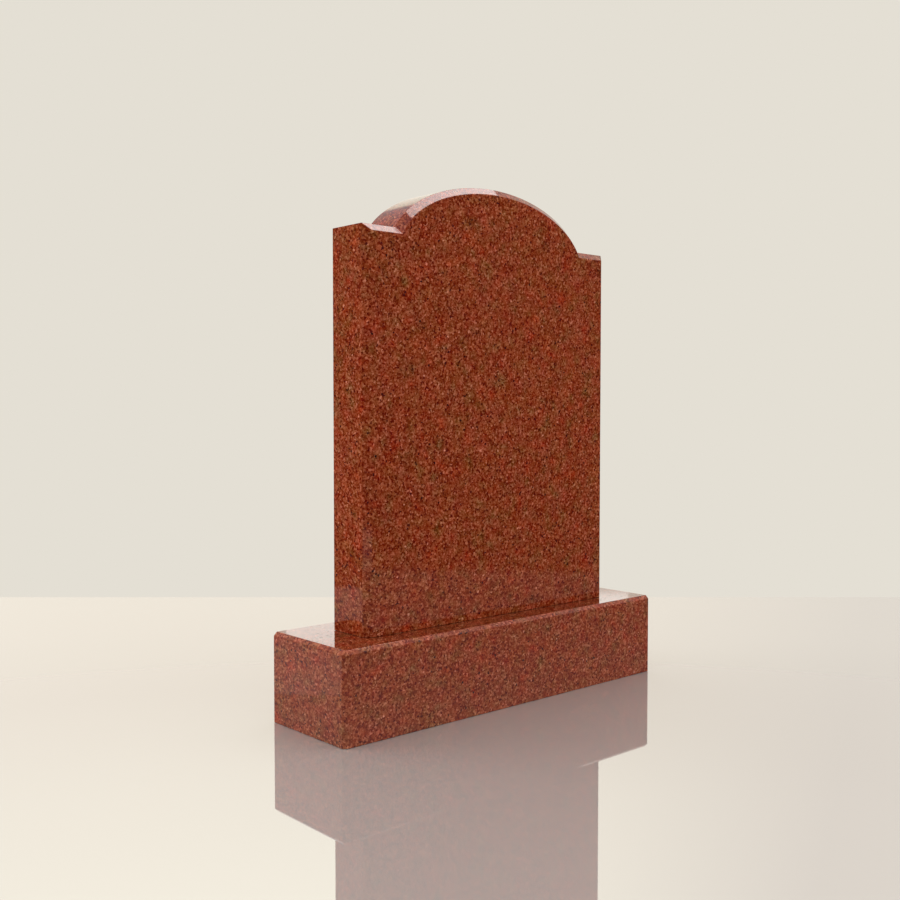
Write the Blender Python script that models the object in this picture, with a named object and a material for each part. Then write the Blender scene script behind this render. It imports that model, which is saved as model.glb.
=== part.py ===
"""An upright headstone in polished granite: a crowned tablet standing on a plain base.

Metres, +Z up. The headstone faces -Y. The origin is the centre of the base's underside.
"""

import bmesh
import bpy
from math import cos, hypot, pi, sin, sqrt

# Tablet, the upright slab
TABLET_WIDTH = 0.610
TABLET_THICKNESS = 0.094
SHOULDER_HEIGHT = 0.697  # foot of the tablet to the flat shoulders
SHOULDER_WIDTH = 0.072  # flat part of each shoulder, beside the crown
CROWN_RISE = 0.093  # shoulders to the top of the crown
CROWN_DROP = 0.040  # shoulders down to the centre of the crown's ellipse
TABLET_CHAMFER = 0.0123  # the 45 degree chamfer round the front face

# Base, the block under it
SIDE_LEDGE = 0.0865  # base showing beside the tablet, each side
FRONT_LEDGE = 0.053
BACK_LEDGE = 0.065
BASE_HEIGHT = 0.1585
BASE_CHAMFER = 0.0065

# The hairline joint between the two stones
SEAT_GAP = 0.0003

CROWN_STEPS = 56  # straight facets along the crown

GRANITE_RED = (0.250, 0.050, 0.022, 1.0)
GRANITE_ROUGHNESS = 0.12

# Worked out from the sizes above
HALF_WIDTH = TABLET_WIDTH / 2
BASE_WIDTH = TABLET_WIDTH + 2 * SIDE_LEDGE
BASE_DEPTH = FRONT_LEDGE + TABLET_THICKNESS + BACK_LEDGE
TABLET_FOOT_Z = BASE_HEIGHT + SEAT_GAP
TABLET_FRONT_Y = -BASE_DEPTH / 2 + FRONT_LEDGE
TABLET_BACK_Y = TABLET_FRONT_Y + TABLET_THICKNESS


def clear_scene():
    for item in list(bpy.data.objects):
        bpy.data.objects.remove(item, do_unlink=True)


def granite(name):
    material = bpy.data.materials.new(name)
    material.use_nodes = True
    shader = material.node_tree.nodes["Principled BSDF"]
    shader.inputs["Base Color"].default_value = GRANITE_RED
    shader.inputs["Roughness"].default_value = GRANITE_ROUGHNESS
    shader.inputs["Metallic"].default_value = 0.0
    material.diffuse_color = GRANITE_RED
    return material


def object_from(bm, name):
    """Turns a closed bmesh into a named object with its faces pointing out."""
    bmesh.ops.recalc_face_normals(bm, faces=bm.faces)
    mesh = bpy.data.meshes.new(name)
    bm.to_mesh(mesh)
    bm.free()
    mesh.materials.append(granite(name + "_granite"))
    item = bpy.data.objects.new(name, mesh)
    bpy.context.scene.collection.objects.link(item)
    return item


class Crown:
    """The curve over the tablet: an ellipse whose centre lies a little below the shoulders."""

    def __init__(self):
        self.centre_z = SHOULDER_HEIGHT - CROWN_DROP
        self.half_height = CROWN_DROP + CROWN_RISE
        half_chord = HALF_WIDTH - SHOULDER_WIDTH
        self.half_span = half_chord / sqrt(1 - (CROWN_DROP / self.half_height) ** 2)

    def point(self, angle, inset):
        """The point at an angle on the ellipse, moved square to the curve by the inset."""
        x = self.half_span * cos(angle)
        z = self.half_height * sin(angle)
        normal_x = x / self.half_span**2
        normal_z = z / self.half_height**2
        length = hypot(normal_x, normal_z)
        return x - inset * normal_x / length, self.centre_z + z - inset * normal_z / length

    def springing(self, inset):
        """The angle where the inset curve meets the shoulder, lowered by the same inset."""
        low, high = -pi / 2, pi / 2
        shoulder = SHOULDER_HEIGHT - inset
        for _ in range(60):
            middle = (low + high) / 2
            if self.point(middle, inset)[1] < shoulder:
                low = middle
            else:
                high = middle
        return (low + high) / 2

    def curve(self, inset):
        """Points from the right springing over the top to the left one."""
        start = self.springing(inset)
        sweep = pi - 2 * start
        return [self.point(start + sweep * i / CROWN_STEPS, inset) for i in range(CROWN_STEPS + 1)]


def tablet_outline(inset):
    """The tablet's outline seen from the front, as (x, height above its foot)."""
    side = HALF_WIDTH - inset
    shoulder = SHOULDER_HEIGHT - inset
    crown = Crown().curve(inset)
    return [(side, 0.0), (side, shoulder), *crown, (-side, shoulder), (-side, 0.0)]


def ring(bm, outline, y, foot_z):
    return [bm.verts.new((x, y, foot_z + z)) for x, z in outline]


def join_rings(bm, first, second):
    count = len(first)
    for i in range(count):
        j = (i + 1) % count
        bm.faces.new((first[i], first[j], second[j], second[i]))


def make_tablet():
    """A slab with square back edges and one broad chamfer round its front face."""
    bm = bmesh.new()
    back = ring(bm, tablet_outline(0.0), TABLET_BACK_Y, TABLET_FOOT_Z)
    rim = ring(bm, tablet_outline(0.0), TABLET_FRONT_Y + TABLET_CHAMFER, TABLET_FOOT_Z)
    face = ring(bm, tablet_outline(TABLET_CHAMFER), TABLET_FRONT_Y, TABLET_FOOT_Z)
    join_rings(bm, back, rim)
    join_rings(bm, rim, face)
    bm.faces.new(back)
    bm.faces.new(face)
    bmesh.ops.triangulate(bm, faces=bm.faces, ngon_method="EAR_CLIP")
    return object_from(bm, "tablet")


def base_corners(inset):
    """The base's four corners seen from above, drawn in by the inset, front right first."""
    half_x = BASE_WIDTH / 2 - inset
    half_y = BASE_DEPTH / 2 - inset
    return [(half_x, -half_y), (half_x, half_y), (-half_x, half_y), (-half_x, -half_y)]


def cut_corners():
    """The same corners, each cut off by the upright chamfer, so two points stand for one."""
    half_x = BASE_WIDTH / 2
    half_y = BASE_DEPTH / 2
    near_x = half_x - BASE_CHAMFER
    near_y = half_y - BASE_CHAMFER
    right = [(near_x, -half_y), (half_x, -near_y), (half_x, near_y), (near_x, half_y)]
    left = [(-x, y) for x, y in reversed(right)]
    return right + left


def make_base():
    """A block with its upright edges and its top edges chamfered, and its foot left square."""
    bm = bmesh.new()
    foot = [bm.verts.new((x, y, 0.0)) for x, y in cut_corners()]
    rim = [bm.verts.new((x, y, BASE_HEIGHT - BASE_CHAMFER)) for x, y in cut_corners()]
    top = [bm.verts.new((x, y, BASE_HEIGHT)) for x, y in base_corners(BASE_CHAMFER)]
    join_rings(bm, foot, rim)
    for i in range(4):
        before, after, beyond = rim[2 * i], rim[2 * i + 1], rim[(2 * i + 2) % 8]
        bm.faces.new((before, after, top[i]))
        bm.faces.new((after, beyond, top[(i + 1) % 4], top[i]))
    bm.faces.new(foot)
    bm.faces.new(top)
    return object_from(bm, "base")


clear_scene()
headstone = bpy.data.objects.new("headstone", None)
bpy.context.scene.collection.objects.link(headstone)
for stone in (make_base(), make_tablet()):
    stone.parent = headstone
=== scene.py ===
# %% [markdown]
# # An upright headstone in polished red granite
#
# The real object is two blocks of the same stone: a tablet with a raised, curved crown, standing on
# a plain base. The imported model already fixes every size, so this lesson only dresses it: finer
# meshes with softened edges, a granite worked out of procedural crystals, and soft studio light.
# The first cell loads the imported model. Its two nodes are the two stones.

# %% Load the frame
from math import cos, hypot, pi, radians, sin, sqrt

import bmesh
import bpy
from mathutils import Matrix, Vector


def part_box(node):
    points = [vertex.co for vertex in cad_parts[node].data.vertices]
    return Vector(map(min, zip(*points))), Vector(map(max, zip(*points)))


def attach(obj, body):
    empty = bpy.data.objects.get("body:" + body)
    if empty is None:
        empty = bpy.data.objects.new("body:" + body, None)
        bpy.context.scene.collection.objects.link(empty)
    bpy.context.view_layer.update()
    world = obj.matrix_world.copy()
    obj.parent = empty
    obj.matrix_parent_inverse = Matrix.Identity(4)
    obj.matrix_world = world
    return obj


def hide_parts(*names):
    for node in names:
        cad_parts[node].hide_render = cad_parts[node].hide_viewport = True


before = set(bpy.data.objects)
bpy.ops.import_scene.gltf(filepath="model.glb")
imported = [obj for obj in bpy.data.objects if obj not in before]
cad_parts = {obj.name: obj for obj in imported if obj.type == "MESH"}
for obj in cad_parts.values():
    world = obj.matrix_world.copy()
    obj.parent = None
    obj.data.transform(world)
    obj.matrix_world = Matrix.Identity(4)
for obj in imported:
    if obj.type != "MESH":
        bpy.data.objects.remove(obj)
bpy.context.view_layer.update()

print("stones in the frame:", sorted(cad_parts))

# %% [markdown]
# ## Sizes
#
# Whatever the frame can tell is read from it, so the visible stones always fill the solids they
# stand for. A box says nothing about the shoulders, the crown or the chamfers, so those few sizes
# are written here, in metres, as a mason would write them on the work sheet.

# %% Read the stones' boxes and name the other sizes
base_low, base_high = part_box("base")
tablet_low, tablet_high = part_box("tablet")

SHOULDER_WIDTH = 0.072
CROWN_RISE = 0.093
CROWN_DROP = 0.040
TABLET_CHAMFER = 0.0123
BASE_CHAMFER = 0.0065

tablet_size = tablet_high - tablet_low
base_size = base_high - base_low
shoulder_height = tablet_size.z - CROWN_RISE
print("tablet", tuple(round(1000 * side) for side in tablet_size), "mm")
print("base", tuple(round(1000 * side) for side in base_size), "mm")


# %% [markdown]
# ## Two small helpers for node trees
#
# Shaders and Geometry Nodes are both trees of nodes. Writing one takes the same two steps again and
# again: add a node with its settings, then give each input either a number or another node's
# output. These helpers do that, so the cells below read like a recipe.

# %% Helpers that add a node and fill its inputs
def fill(tree, socket, value):
    """Joins a socket to another node's output, or gives it a plain value."""
    if isinstance(value, bpy.types.NodeSocket):
        tree.links.new(value, socket)
    else:
        socket.default_value = value


def add_node(tree, kind, inputs=None, **settings):
    """Adds a node. The inputs are given by name or by place in the node."""
    made = tree.nodes.new(kind)
    for name, value in settings.items():
        setattr(made, name, value)
    for socket, value in (inputs or {}).items():
        fill(tree, made.inputs[socket], value)
    return made


# %% [markdown]
# ## The crown
#
# Over the shoulders the tablet's edge is one smooth curve. Measured, it is part of an ellipse whose
# centre lies a little below the shoulders. A mason saws it from a template and then grinds the
# chamfer at a constant width, so the front edge is the same curve moved inwards, square to itself.
# The springing is where a curve meets its shoulder. The inset curve has no tidy formula for that
# angle, so it is found by halving an interval until it is exact enough.

# %% The crown's ellipse and where it springs from the shoulder
crown_half_height = CROWN_DROP + CROWN_RISE
crown_half_chord = tablet_size.x / 2 - SHOULDER_WIDTH
crown_half_span = crown_half_chord / sqrt(1 - (CROWN_DROP / crown_half_height) ** 2)
crown_centre = shoulder_height - CROWN_DROP


def crown_height(angle, inset):
    """The height of the inset curve's point at an angle, above the tablet's foot."""
    across = cos(angle) / crown_half_span
    upward = sin(angle) / crown_half_height
    return crown_centre + crown_half_height * sin(angle) - inset * upward / hypot(across, upward)


def springing(inset):
    """The angle at which the inset curve meets the shoulder, lowered by the same inset."""
    low, high = -pi / 2, pi / 2
    while high - low > 1e-9:
        middle = (low + high) / 2
        if crown_height(middle, inset) < shoulder_height - inset:
            low = middle
        else:
            high = middle
    return low


print("crown springs at", round(springing(0.0) * 180 / pi, 2), "degrees on the ellipse")

# %% [markdown]
# ## A node group that draws the tablet's outline
#
# The tablet's shape follows a rule, so Geometry Nodes can make it. The outline is a ring of
# numbered points: two up the right side, then the crown from right to left, then two down the left
# side. This group takes a point's number and an inset and answers with the point's place. The same
# group draws the full outline and the smaller outline of the front face, point for point.


# %% Geometry Nodes: the outline group
def new_group(name, inputs, outputs):
    """An empty node group with named sockets, given as (name, socket type) pairs."""
    tree = bpy.data.node_groups.new(name, "GeometryNodeTree")
    for side, sockets in (("INPUT", inputs), ("OUTPUT", outputs)):
        for socket_name, kind in sockets:
            tree.interface.new_socket(socket_name, in_out=side, socket_type=kind)
    return tree, tree.nodes.new("NodeGroupInput").outputs, tree.nodes.new("NodeGroupOutput").inputs


def calculate(tree, operation, *values):
    """A Math node's result."""
    return add_node(tree, "ShaderNodeMath", dict(enumerate(values)), operation=operation).outputs[0]


def compare(tree, operation, first, second):
    """True where the first whole number stands in that relation to the second."""
    made = add_node(tree, "FunctionNodeCompare", data_type="INT", operation=operation)
    fill(tree, made.inputs[2], first)
    fill(tree, made.inputs[3], second)
    return made.outputs[0]


def choose(tree, kind, test, if_false, if_true):
    """One value or the other, by a yes or no."""
    inputs = {0: test, 1: if_false, 2: if_true}
    return add_node(tree, "GeometryNodeSwitch", inputs, input_type=kind).outputs[0]


def outline_group():
    tree, given, result = new_group(
        "tablet outline",
        [
            *(("Point", "NodeSocketInt"), ("Steps", "NodeSocketInt"), ("Inset", "NodeSocketFloat")),
            *(("Springing", "NodeSocketFloat"), ("Half Width", "NodeSocketFloat")),
            *(("Shoulder Height", "NodeSocketFloat"), ("Crown Centre", "NodeSocketFloat")),
            *(("Crown Half Span", "NodeSocketFloat"), ("Crown Half Height", "NodeSocketFloat")),
        ],
        [("Across", "NodeSocketFloat"), ("Height", "NodeSocketFloat")],
    )
    point, steps, inset = given["Point"], given["Steps"], given["Inset"]

    share = calculate(tree, "DIVIDE", calculate(tree, "SUBTRACT", point, 2.0), steps)
    sweep = calculate(tree, "SUBTRACT", pi, calculate(tree, "MULTIPLY", given["Springing"], 2.0))
    angle = calculate(tree, "ADD", calculate(tree, "MULTIPLY", share, sweep), given["Springing"])
    cosine = calculate(tree, "COSINE", angle)
    sine = calculate(tree, "SINE", angle)

    slope_x = calculate(tree, "DIVIDE", cosine, given["Crown Half Span"])
    slope_z = calculate(tree, "DIVIDE", sine, given["Crown Half Height"])
    slope = add_node(tree, "ShaderNodeCombineXYZ", {"X": slope_x, "Z": slope_z})
    square = add_node(tree, "ShaderNodeVectorMath", {0: slope.outputs[0]}, operation="NORMALIZE")
    step_in = add_node(
        tree, "ShaderNodeVectorMath", {0: square.outputs[0], "Scale": inset}, operation="SCALE"
    )
    ellipse_x = calculate(tree, "MULTIPLY", cosine, given["Crown Half Span"])
    ellipse_z = calculate(tree, "MULTIPLY_ADD", sine, given["Crown Half Height"], given["Crown Centre"])
    ellipse = add_node(tree, "ShaderNodeCombineXYZ", {"X": ellipse_x, "Z": ellipse_z})
    crown = add_node(
        tree, "ShaderNodeVectorMath", {0: ellipse.outputs[0], 1: step_in.outputs[0]}, operation="SUBTRACT"
    )

    last = calculate(tree, "ADD", steps, 4.0)
    side = calculate(tree, "SUBTRACT", given["Half Width"], inset)
    other_side = calculate(tree, "MULTIPLY", side, -1.0)
    corner_x = choose(tree, "FLOAT", compare(tree, "LESS_THAN", point, 2), other_side, side)
    shoulder = calculate(tree, "SUBTRACT", given["Shoulder Height"], inset)
    at_foot = add_node(
        tree,
        "FunctionNodeBooleanMath",
        {0: compare(tree, "EQUAL", point, 0), 1: compare(tree, "EQUAL", point, last)},
        operation="OR",
    ).outputs[0]
    corner_z = choose(tree, "FLOAT", at_foot, shoulder, 0.0)
    corner = add_node(tree, "ShaderNodeCombineXYZ", {"X": corner_x, "Z": corner_z})

    in_crown = add_node(
        tree,
        "FunctionNodeBooleanMath",
        {
            0: compare(tree, "GREATER_THAN", point, 1),
            1: compare(tree, "LESS_THAN", point, calculate(tree, "ADD", steps, 3.0)),
        },
        operation="AND",
    ).outputs[0]
    place = choose(tree, "VECTOR", in_crown, corner.outputs[0], crown.outputs[0])
    parts = add_node(tree, "ShaderNodeSeparateXYZ", {0: place}).outputs
    fill(tree, result["Across"], parts["X"])
    fill(tree, result["Height"], parts["Z"])
    return tree


outline_tree = outline_group()
print("outline group:", len(outline_tree.nodes), "nodes")

# %% [markdown]
# ## The slab itself
#
# A mason saws the outline right through a slab and then chamfers the front. The tree does the
# same: one many-sided face in the shape of the outline at the back, pulled forward to where the
# chamfer starts, pulled forward again by the chamfer's depth, and there drawn in to the smaller
# outline. Pulling a lone face forward leaves the back open, so a turned-over copy of it closes the
# block. The tree ends in Realize Instances and Set Material, so what comes out is a plain mesh.


# %% Geometry Nodes: the slab
def slab_group():
    tree, given, result = new_group(
        "crowned slab",
        [
            *(("Crown Steps", "NodeSocketInt"), ("Half Width", "NodeSocketFloat")),
            *(("Thickness", "NodeSocketFloat"), ("Shoulder Height", "NodeSocketFloat")),
            *(("Crown Centre", "NodeSocketFloat"), ("Crown Half Span", "NodeSocketFloat")),
            *(("Crown Half Height", "NodeSocketFloat"), ("Chamfer", "NodeSocketFloat")),
            *(("Rim Springing", "NodeSocketFloat"), ("Face Springing", "NodeSocketFloat")),
            *(("Back", "NodeSocketFloat"), ("Foot", "NodeSocketFloat")),
            ("Material", "NodeSocketMaterial"),
        ],
        [("Slab", "NodeSocketGeometry")],
    )

    def outline(point, inset, angle, depth):
        """The place of a numbered point, at a depth from front to back."""
        found = add_node(tree, "GeometryNodeGroup", node_tree=outline_tree)
        fill(tree, found.inputs["Point"], point)
        fill(tree, found.inputs["Steps"], given["Crown Steps"])
        fill(tree, found.inputs["Inset"], inset)
        fill(tree, found.inputs["Springing"], angle)
        for name in ("Half Width", "Shoulder Height"):
            fill(tree, found.inputs[name], given[name])
        for name in ("Crown Centre", "Crown Half Span", "Crown Half Height"):
            fill(tree, found.inputs[name], given[name])
        height = calculate(tree, "ADD", found.outputs["Height"], given["Foot"])
        return add_node(
            tree, "ShaderNodeCombineXYZ", {"X": found.outputs["Across"], "Y": depth, "Z": height}
        ).outputs[0]

    def pull_forward(mesh, front_face, distance):
        """Pulls the front face forward and gives the mesh and its new front face."""
        forward = calculate(tree, "MULTIPLY", distance, -1.0)
        offset = add_node(tree, "ShaderNodeCombineXYZ", {"Y": forward})
        return add_node(
            tree,
            "GeometryNodeExtrudeMesh",
            {"Mesh": mesh, "Selection": front_face, "Offset": offset.outputs[0], "Offset Scale": 1.0,
             "Individual": False},
            mode="FACES",
        ).outputs

    corners = calculate(tree, "ADD", given["Crown Steps"], 5.0)
    blank = add_node(tree, "GeometryNodeMeshCircle", {"Vertices": corners}, fill_type="NGON")
    number = add_node(tree, "GeometryNodeInputIndex").outputs[0]
    back_place = outline(number, 0.0, given["Rim Springing"], given["Back"])
    back = add_node(
        tree, "GeometryNodeSetPosition", {"Geometry": blank.outputs[0], "Position": back_place}
    )
    numbered = add_node(tree, "GeometryNodeStoreNamedAttribute", data_type="INT", domain="POINT")
    fill(tree, numbered.inputs["Geometry"], back.outputs[0])
    fill(tree, numbered.inputs["Name"], "outline point")
    fill(tree, numbered.inputs["Value"], number)

    depth_of_rim = calculate(tree, "SUBTRACT", given["Thickness"], given["Chamfer"])
    sawn = pull_forward(numbered.outputs[0], True, depth_of_rim)
    ground = pull_forward(sawn["Mesh"], sawn["Top"], given["Chamfer"])
    kept_number = add_node(
        tree, "GeometryNodeInputNamedAttribute", {"Name": "outline point"}, data_type="INT"
    ).outputs[0]
    front = calculate(tree, "SUBTRACT", given["Back"], given["Thickness"])
    face_place = outline(kept_number, given["Chamfer"], given["Face Springing"], front)
    chamfered = add_node(
        tree,
        "GeometryNodeSetPosition",
        {"Geometry": ground["Mesh"], "Selection": ground["Top"], "Position": face_place},
    )

    turned = add_node(tree, "GeometryNodeFlipFaces", {"Mesh": numbered.outputs[0]})
    both = add_node(tree, "GeometryNodeJoinGeometry")
    tree.links.new(chamfered.outputs[0], both.inputs[0])
    tree.links.new(turned.outputs[0], both.inputs[0])
    closed = add_node(
        tree, "GeometryNodeMergeByDistance", {"Geometry": both.outputs[0], "Distance": 0.00001}
    )
    plain = add_node(tree, "GeometryNodeRealizeInstances", {"Geometry": closed.outputs[0]})
    finished = add_node(
        tree, "GeometryNodeSetMaterial", {"Geometry": plain.outputs[0], "Material": given["Material"]}
    )
    fill(tree, result["Slab"], finished.outputs[0])
    return tree


slab_tree = slab_group()
print("slab group:", len(slab_tree.nodes), "nodes")

# %% [markdown]
# ## From a node tree to a plain mesh
#
# A modifier's inputs are set by each socket's identifier, which Blender hands out, so a small
# function looks it up by the name that a person reads. The evaluated result is copied to a mesh of
# its own and the modifier is dropped. After that the piece no longer depends on the tree.


# %% Run a modifier and keep only its mesh
def set_input(modifier, name, value):
    for item in modifier.node_group.interface.items_tree:
        if item.item_type == "SOCKET" and item.in_out == "INPUT" and item.name == name:
            modifier[item.identifier] = value


def apply_modifiers(piece):
    """Swaps a piece's mesh for what its modifiers make of it, and drops them."""
    evaluated = piece.evaluated_get(bpy.context.evaluated_depsgraph_get())
    made = bpy.data.meshes.new_from_object(evaluated)
    piece.modifiers.clear()
    piece.data = made
    made.name = piece.name


def new_piece(name, mesh=None):
    piece = bpy.data.objects.new(name, mesh or bpy.data.meshes.new(name))
    bpy.context.scene.collection.objects.link(piece)
    return piece


# %% [markdown]
# ## Eased arrises
#
# No sawn edge on a finished stone is knife sharp: the last pass of the polishing pad eases it by
# about a millimetre, and that narrow round catches the light. A Bevel modifier does this on every
# edge that turns by more than a few degrees, so it skips the fine facets of the crown. Weighted
# normals then let the wide faces decide the shading, which keeps their reflections flat and still
# leaves the crown smooth.

# %% Ease the arrises
ARRIS = 0.0009
ARRIS_STEPS = 3
SHARPEST_FACET = radians(12)


def ease_arrises(piece):
    piece.data.shade_smooth()
    rounding = piece.modifiers.new("eased arris", "BEVEL")
    rounding.width = ARRIS
    rounding.segments = ARRIS_STEPS
    rounding.limit_method = "ANGLE"
    rounding.angle_limit = SHARPEST_FACET
    rounding.use_clamp_overlap = True
    shading = piece.modifiers.new("flat faces stay flat", "WEIGHTED_NORMAL")
    shading.mode = "FACE_AREA"
    shading.weight = 100
    apply_modifiers(piece)
    print(piece.name, len(piece.data.polygons), "faces")


# %% [markdown]
# ## Colours of the minerals
#
# Red granite is a tight mosaic of crystals a few millimetres across, nearly all of them feldspar.
# Step back, and two things show. Every crystal is a little lighter or darker than its neighbours,
# and whole clusters of them lean towards vermilion, brown or olive. The list below is that scale of
# hues, each with its place from 0 to 1. Most of the stone lies near the middle of it.
# All colours are written as a screen shows them, from 0 to 255.


# %% The scale of hues
def screen(red, green, blue):
    """A screen colour as shares of one, with its alpha."""
    return (red / 255, green / 255, blue / 255, 1.0)


def paint(red, green, blue):
    """A screen colour as the linear colour that Blender's shaders and lamps expect."""
    shares = screen(red, green, blue)[:3]
    linear = [share / 12.92 if share < 0.04045 else ((share + 0.055) / 1.055) ** 2.4 for share in shares]
    return (*linear, 1.0)


HUES = (
    ("olive", 0.18, screen(104, 61, 29)),
    ("brown", 0.36, screen(115, 55, 27)),
    ("red brown", 0.50, screen(119, 52, 26)),
    ("brick red", 0.64, screen(122, 50, 25)),
    ("vermilion", 0.82, screen(133, 44, 17)),
)

for hue, place, colour in HUES:
    print(f"{hue} at {place}")


# %% [markdown]
# ## The polished granite
#
# Voronoi cells pack together the way crystals do, so each cell stands for one crystal. Straight
# cell walls would look like cracked glass, so a little noise added to the coordinates bends them.
# Each cell comes with a random colour. Its red part shifts the crystal's hue and its green and blue
# parts set how light it is. A second, finer mosaic gives each crystal its grain, and a slow noise
# moves whole clusters along the scale of hues. A few crystals at either end of the chances are black
# mica or pale feldspar.
#
# Everything reads Object coordinates, in metres, so crystals keep their size and run straight
# through from one face to the next. A Mapping node cuts each stone from its own part of the block.

# %% Shared pieces of the granite
CRYSTAL = 0.0034
GRAIN = 0.0018
BEND_SIZE = 0.0026
BENDING = 0.0011
CLUSTER = 0.025
SMEAR = 0.004


def mix(tree, factor, first, second, blend="MIX"):
    made = add_node(
        tree, "ShaderNodeMix", {0: factor, 6: first, 7: second}, data_type="RGBA", blend_type=blend
    )
    return made.outputs[2]


def spread(tree, value, low, high, to_low=0.0, to_high=1.0):
    """Stretches a value's range to another one, and holds it there."""
    made = add_node(
        tree, "ShaderNodeMapRange", {0: value, 1: low, 2: high, 3: to_low, 4: to_high}, clamp=True
    )
    return made.outputs[0]


def noise(tree, place, size, detail=2.0, output="Fac"):
    inputs = {"Vector": place, "Scale": 1 / size, "Detail": detail}
    return add_node(tree, "ShaderNodeTexNoise", inputs).outputs[output]


def crystals(tree, place, size):
    """Random red, green and blue parts for each cell of a mosaic."""
    cells = add_node(tree, "ShaderNodeTexVoronoi", {"Vector": place, "Scale": 1 / size}, feature="F1")
    return add_node(tree, "ShaderNodeSeparateColor", {0: cells.outputs["Color"]}).outputs


def bend(tree, place, size, amount):
    """Moves the coordinates about by noise, so that crystal walls are not straight."""
    wander = add_node(
        tree, "ShaderNodeVectorMath", {0: noise(tree, place, size, output="Color"), 1: (0.5, 0.5, 0.5)},
        operation="SUBTRACT",
    )
    scaled = add_node(
        tree, "ShaderNodeVectorMath", {0: wander.outputs[0], "Scale": 2 * amount}, operation="SCALE"
    )
    moved = add_node(tree, "ShaderNodeVectorMath", {0: place, 1: scaled.outputs[0]}, operation="ADD")
    return moved.outputs[0]


def hue_scale(tree, place):
    """Looks a place from 0 to 1 up on the scale of hues."""
    ramp = add_node(tree, "ShaderNodeValToRGB", {0: place})
    steps = ramp.color_ramp.elements
    for extra in HUES[2:]:
        steps.new(extra[1])
    for step, (hue, position, colour) in zip(steps, HUES):
        step.position = position
        step.color = colour
    return ramp.outputs["Color"]


# %% [markdown]
# The eye judges light and dark on a screen's scale, not on the linear scale of a shader. So the
# lightness of each crystal is added to the screen colours, by the same amount to red, green and
# blue: light crystals turn out paler and dark ones deeper in colour. One Gamma node at the end
# makes the result linear.

# %% The granite itself
CHANCE = 0.09
LIGHTNESS_SPREAD = 0.435
POLISH = 0.055
MICA_DULLNESS = 0.16


def crystal_lightness(tree, crystal, grain):
    """How much lighter or darker than the middle each spot is, from about -0.5 to 0.5."""
    own = calculate(tree, "ADD", crystal["Green"], crystal["Blue"])
    both = calculate(tree, "MULTIPLY_ADD", own, 0.36, calculate(tree, "MULTIPLY", grain["Red"], 0.28))
    with_mica = calculate(tree, "ADD", both, spread(tree, crystal["Red"], 0.0, 0.06, -0.35, 0.0))
    with_pale = calculate(tree, "ADD", with_mica, spread(tree, crystal["Red"], 0.95, 1.0, 0.0, 0.30))
    return calculate(tree, "SUBTRACT", with_pale, 0.5)


def granite(name, cut_from, turned):
    """A polished red granite, cut from its own place in the block."""
    material = bpy.data.materials.new(name)
    material.use_nodes = True
    tree = material.node_tree
    surface = tree.nodes["Principled BSDF"]
    objectwise = add_node(tree, "ShaderNodeTexCoord").outputs["Object"]
    block = add_node(
        tree, "ShaderNodeMapping", {"Vector": objectwise, "Location": cut_from, "Rotation": turned}
    ).outputs[0]
    bent = bend(tree, block, BEND_SIZE, BENDING)
    crystal = crystals(tree, bent, CRYSTAL)
    grain = crystals(tree, bent, GRAIN)

    cluster = noise(tree, block, CLUSTER, detail=1.0)
    chance = calculate(tree, "MULTIPLY", calculate(tree, "SUBTRACT", crystal["Red"], 0.5), CHANCE)
    colour = hue_scale(tree, calculate(tree, "ADD", cluster, chance))
    lilac = spread(tree, noise(tree, bent, 1.3 * CLUSTER, detail=1.0), 0.2, 0.8)
    colour = mix(tree, 1.0, colour, mix(tree, lilac, screen(2, 3, 0), screen(0, 0, 6)), blend="ADD")
    lightness = calculate(tree, "MULTIPLY", crystal_lightness(tree, crystal, grain), LIGHTNESS_SPREAD)
    shaded = add_node(tree, "ShaderNodeVectorMath", {0: colour, 1: lightness}, operation="ADD")
    held = add_node(
        tree, "ShaderNodeVectorMath", {0: shaded.outputs[0], 1: (0.0, 0.0, 0.0)}, operation="MAXIMUM"
    )
    linear = add_node(tree, "ShaderNodeGamma", {"Color": held.outputs[0], "Gamma": 2.2})
    fill(tree, surface.inputs["Base Color"], linear.outputs[0])

    mica = calculate(tree, "LESS_THAN", crystal["Red"], 0.03)
    smear = noise(tree, block, SMEAR)
    smeared = spread(tree, smear, 0.2, 0.8, POLISH - 0.015, POLISH + 0.02)
    polish = calculate(tree, "MULTIPLY_ADD", mica, MICA_DULLNESS, smeared)
    fill(tree, surface.inputs["Roughness"], polish)
    surface.inputs["IOR"].default_value = 1.53
    return material


tablet_granite = granite("polished granite of the tablet", (0.37, 0.11, 0.53), (0.3, 0.2, 0.5))
base_granite = granite("polished granite of the base", (1.9, 0.7, 1.2), (1.1, 0.4, 0.9))
print("granite nodes:", len(tablet_granite.node_tree.nodes))

# %% [markdown]
# ## The tablet
#
# The slab group gets its sizes, most of them read from the frame, and makes the tablet in the very
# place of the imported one. A crown of 160 short facets is far finer than the eye sees in a
# reflection. An even number puts one point exactly at the top, so the height is true.

# %% Make the tablet
CROWN_STEPS = 160

tablet = new_piece("polished_tablet")
slab = tablet.modifiers.new("slab", "NODES")
slab.node_group = slab_tree
for name, value in (
    *(("Crown Steps", CROWN_STEPS), ("Half Width", tablet_size.x / 2), ("Thickness", tablet_size.y)),
    *(("Shoulder Height", shoulder_height), ("Crown Centre", crown_centre), ("Chamfer", TABLET_CHAMFER)),
    *(("Crown Half Span", crown_half_span), ("Crown Half Height", crown_half_height)),
    *(("Rim Springing", springing(0.0)), ("Face Springing", springing(TABLET_CHAMFER))),
    *(("Back", tablet_high.y), ("Foot", tablet_low.z), ("Material", tablet_granite)),
):
    set_input(slab, name, value)
apply_modifiers(tablet)
ease_arrises(tablet)
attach(tablet, "root")
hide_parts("tablet")

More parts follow.
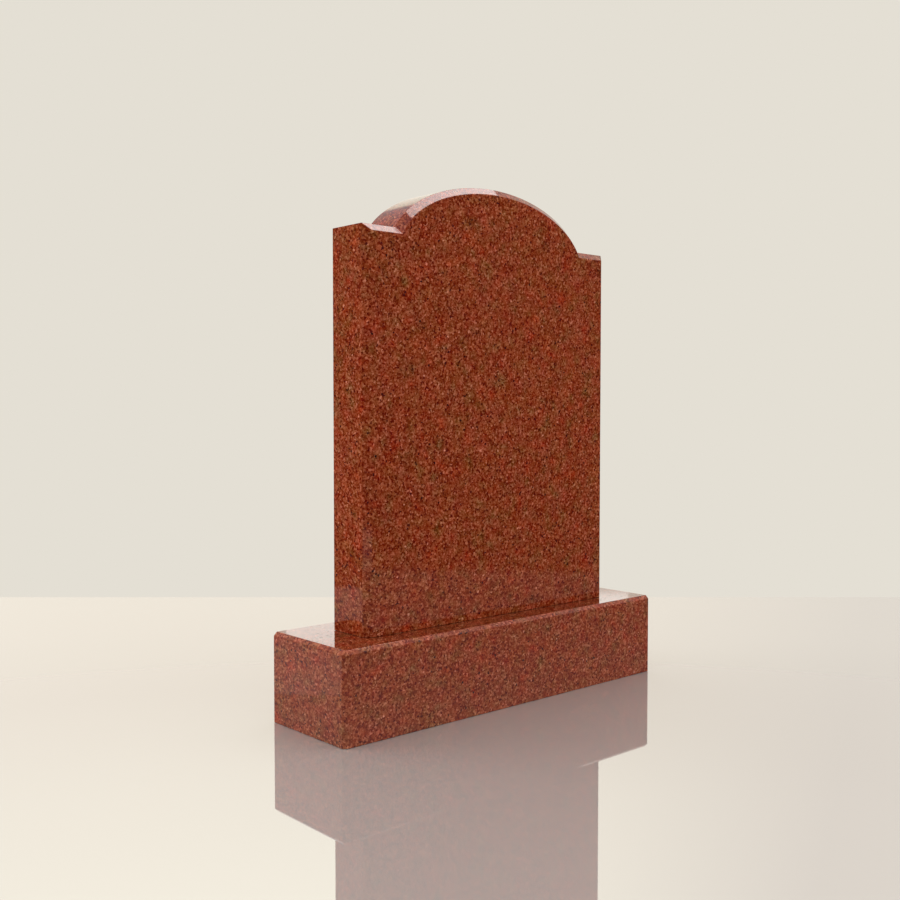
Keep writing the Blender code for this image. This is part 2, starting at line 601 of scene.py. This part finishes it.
# %% [markdown]
# ## The base
#
# The base is a plain block, so a cube will do: scaled to size, with a small chamfer on its four
# upright edges and round its top. The edges round the foot stay square, because the block stands on
# them. Picking edges by where they lie reads more plainly than picking them by number.


# %% Make the base
def block(low, high, chamfer):
    bm = bmesh.new()
    bmesh.ops.create_cube(bm, size=1.0)
    middle = (low + high) / 2
    size = high - low
    sized = Matrix.Translation(middle) @ Matrix.Diagonal((*size, 1.0))
    bmesh.ops.transform(bm, matrix=sized, verts=bm.verts)
    raised = [edge for edge in bm.edges if any(corner.co.z > middle.z for corner in edge.verts)]
    bmesh.ops.bevel(bm, geom=raised, offset=chamfer, segments=1, affect="EDGES")
    mesh = bpy.data.meshes.new("block")
    bm.to_mesh(mesh)
    bm.free()
    return mesh


base = new_piece("polished_base", block(base_low, base_high, BASE_CHAMFER))
base.data.materials.append(base_granite)
ease_arrises(base)
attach(base, "root")
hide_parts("base")

# %% [markdown]
# ## The camera
#
# The camera stands where the picture was taken from: about two metres away, round to the stone's
# left, looking slightly down with a moderately long lens. Its place was found by matching the
# stone's corners in the picture to the model's.

# %% Camera
CAMERA_PLACE = Vector((-1.4105, -1.5014, 0.5516))
CAMERA_YAW = radians(41.753)
CAMERA_PITCH = radians(2.359)
LENS = 43.52

camera_data = bpy.data.cameras.new("camera")
camera_data.lens = LENS
camera_data.sensor_width = 36.0
camera = bpy.data.objects.new("camera", camera_data)
camera.location = CAMERA_PLACE
camera.rotation_euler = (pi / 2 - CAMERA_PITCH, 0.0, -CAMERA_YAW)
bpy.context.scene.collection.objects.link(camera)
bpy.context.scene.camera = camera
away = Vector((sin(CAMERA_YAW), cos(CAMERA_YAW), 0.0))
rightwards = Vector((cos(CAMERA_YAW), -sin(CAMERA_YAW), 0.0))
print("camera", round(CAMERA_PLACE.length, 2), "metres from the middle of the stone's foot")

# %% [markdown]
# ## The floor
#
# A polished stone is half seen through what it reflects, so the floor matters even where it is out
# of the picture. This one is pale, smooth and rather more than half a mirror, and lies square to
# the camera. It ends a metre behind the stone and further out at the sides. Where it ends, the
# reflection low on the tablet's face turns from pale floor to dark room.

# %% Floor
FLOOR_BEHIND = 1.05
FLOOR_BESIDE = 1.62
FLOOR_IN_FRONT = 3.2
FLOOR_HEIGHT = -0.0002
MIRROR_SHARE = 0.585


def floor_material():
    material = bpy.data.materials.new("pale floor")
    material.use_nodes = True
    surface = material.node_tree.nodes["Principled BSDF"]
    surface.inputs["Base Color"].default_value = paint(211, 207, 204)
    surface.inputs["Metallic"].default_value = MIRROR_SHARE
    surface.inputs["Roughness"].default_value = 0.02
    return material


floor_mesh = bpy.data.meshes.new("floor")
corners = (
    rightwards * -FLOOR_BESIDE - away * FLOOR_IN_FRONT,
    rightwards * FLOOR_BESIDE - away * FLOOR_IN_FRONT,
    rightwards * FLOOR_BESIDE + away * FLOOR_BEHIND,
    rightwards * -FLOOR_BESIDE + away * FLOOR_BEHIND,
)
floor_points = [(corner.x, corner.y, FLOOR_HEIGHT) for corner in corners]
floor_mesh.from_pydata(floor_points, [], [(0, 1, 2, 3)])
floor_mesh.materials.append(floor_material())
floor = new_piece("floor", floor_mesh)
print("floor", 2 * FLOOR_BESIDE, "by", FLOOR_BEHIND + FLOOR_IN_FRONT, "metres")

# %% [markdown]
# ## Studio light
#
# Three soft panels light the stone's colour: one low at each side, and one straight above the ledge
# in front of the tablet. They are hidden from reflections, because a bright panel mirrored in the
# polish would wash the red out. Three more do the opposite: they add little light and show up as
# sheen. One hangs overhead, for the chamfers of the crown and the shoulders. One stands far behind,
# for the top of the base. One lies on the floor at the left, where the sides mirror it. Light linking
# gives these three, and the one above the ledge, to the stones alone, so the floor stays plain.


# %% Panels
stones = bpy.data.collections.new("stones")
stones.objects.link(tablet)
stones.objects.link(base)


def panel(name, place, aim, width, height, radiance):
    """A rectangular lamp at a place, turned to a point, as bright as its radiance says."""
    lamp = bpy.data.lights.new(name, "AREA")
    lamp.shape = "RECTANGLE"
    lamp.size = width
    lamp.size_y = height
    lamp.energy = radiance * pi * width * height
    made = bpy.data.objects.new(name, lamp)
    made.location = place
    made.rotation_euler = (Vector(aim) - Vector(place)).to_track_quat("-Z", "Y").to_euler()
    made.visible_camera = False
    bpy.context.scene.collection.objects.link(made)
    return made


left = panel("left", (-2.1, 2.1, 0.75), (0.0, 0.0, 0.5), 1.8, 1.4, 4.6)
left.visible_glossy = False
right = panel("right", (2.1, -2.1, 0.75), (0.0, 0.0, 0.5), 1.8, 1.4, 1.5)
right.visible_glossy = False
above_ledge = panel("above ledge", (0.0, -0.3, 3.0), (0.0, -0.1, 0.0), 1.4, 1.4, 2.1)
above_ledge.visible_glossy = False

overhead = panel("overhead", (0.78, -0.05, 3.0), (0.78, -0.05, 0.0), 2.44, 1.4, 2.5)
overhead.data.spread = radians(122)
overhead.visible_diffuse = False

far_behind = away * 6.0 + Vector((0.0, 0.0, 1.38))
behind = panel("behind", far_behind, (0.0, 0.0, 1.38), 2.55, 0.43, 0.80)
behind.visible_diffuse = False

left_floor = away * (FLOOR_BEHIND - FLOOR_IN_FRONT) / 2 - rightwards * 1.08
bounce = panel("bounce", left_floor, (0.0, 0.0, 0.5), 1.08, FLOOR_BEHIND + FLOOR_IN_FRONT, 0.20)
bounce.rotation_euler = (pi, 0.0, -CAMERA_YAW)

for lamp in (above_ledge, overhead, behind, bounce):
    lamp.light_linking.receiver_collection = stones
    print(lamp.name, "lights the stones alone")

# %% [markdown]
# ## The room
#
# The world is a plain pale cream to the camera and an even light to the stone's colour. Only
# mirror-like reflections see more than that, and they need it, because a polished stone shows the
# room around it. This room has a bright wall behind the stone, a grey ceiling, and an end in front
# that is dark low down. Light Path tells the three kinds of ray apart.

# %% World
world = bpy.data.worlds.new("studio")
bpy.context.scene.world = world
world.use_nodes = True
sky = world.node_tree
sky.nodes.clear()

direction = add_node(sky, "ShaderNodeTexCoord").outputs["Generated"]
sides = add_node(sky, "ShaderNodeSeparateXYZ", {0: direction}).outputs
height = sides["Z"]
depth = add_node(
    sky, "ShaderNodeVectorMath", {0: direction, 1: tuple(away)}, operation="DOT_PRODUCT"
).outputs["Value"]

corner = spread(sky, sides["Y"], 0.45, 0.65)
bright_wall = mix(sky, spread(sky, height, 0.25, 0.42), (1.05, 0.98, 0.84, 1.0), (1.28, 1.25, 1.06, 1.0))
far_wall = mix(sky, spread(sky, height, 0.50, 0.53), bright_wall, (0.60, 0.54, 0.57, 1.0))
behind_stone = mix(sky, corner, (0.88, 0.83, 0.74, 1.0), far_wall)
in_front = mix(sky, spread(sky, height, 0.20, 0.30), (0.05, 0.048, 0.045, 1.0), (0.62, 0.60, 0.57, 1.0))
walls = mix(sky, spread(sky, depth, 0.26, 0.62), in_front, behind_stone)
ceiling = mix(sky, corner, (0.80, 0.71, 0.68, 1.0), (0.68, 0.58, 0.62, 1.0))
room = mix(sky, spread(sky, height, 0.62, 0.68), walls, ceiling)

above = mix(sky, spread(sky, height, 0.0, 1.0), (1.14, 1.13, 1.10, 1.0), (1.75, 1.73, 1.69, 1.0))
soft_light = mix(sky, spread(sky, height, -0.1, 0.0), (0.66, 0.65, 0.62, 1.0), above)

ray = add_node(sky, "ShaderNodeLightPath").outputs
seen = mix(sky, ray["Is Diffuse Ray"], room, soft_light)
seen = mix(sky, ray["Is Camera Ray"], seen, paint(228, 223, 212))
background = add_node(sky, "ShaderNodeBackground", {"Color": seen})
add_node(sky, "ShaderNodeOutputWorld", {"Surface": background.outputs[0]})
bpy.context.scene.view_settings.view_transform = "Standard"
print("world nodes:", len(sky.nodes))
